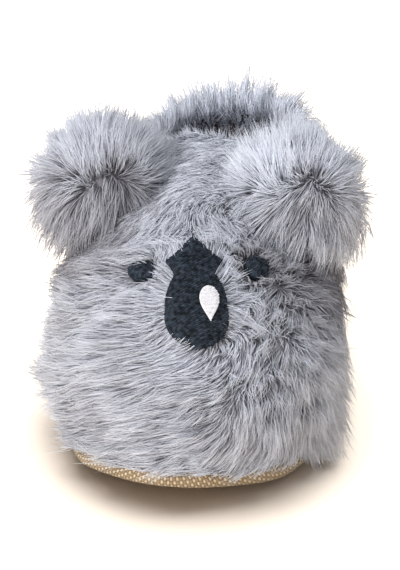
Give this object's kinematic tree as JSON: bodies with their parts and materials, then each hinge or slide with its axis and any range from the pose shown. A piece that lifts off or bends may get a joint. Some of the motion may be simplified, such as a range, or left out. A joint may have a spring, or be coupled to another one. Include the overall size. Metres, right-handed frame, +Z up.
{
  "type": "animal slipper",
  "caption": "Baby's fur slipper with a koala face: soft woven sole, long-fur upper open at the collar, round fur ears, padded nose and eyes. Right foot.",
  "frame": {"origin": "on the floor, under the middle of the sole's length, on the sole's centre line", "axes": "+Z up, +Y from the toe to the heel, +X to the inner, big toe side of this right slipper"},
  "size_m": [0.0867, 0.1457, 0.0768],
  "materials": {
    "fur": "cool light grey long-pile faux fur",
    "sole_weave": "matte beige woven cloth",
    "lining": "short grey plush",
    "black_stitching": "dense black embroidery",
    "white_satin": "white satin stitch"
  },
  "bodies": {
    "root": {"outsole": "sole_weave", "insole": "lining", "upper": "fur", "ear_inner_side": "fur", "ear_outer_side": "fur", "nose": "black_stitching", "nose_highlight": "white_satin", "eye_inner_side": "black_stitching", "eye_outer_side": "black_stitching"}
  },
  "joints": []
}
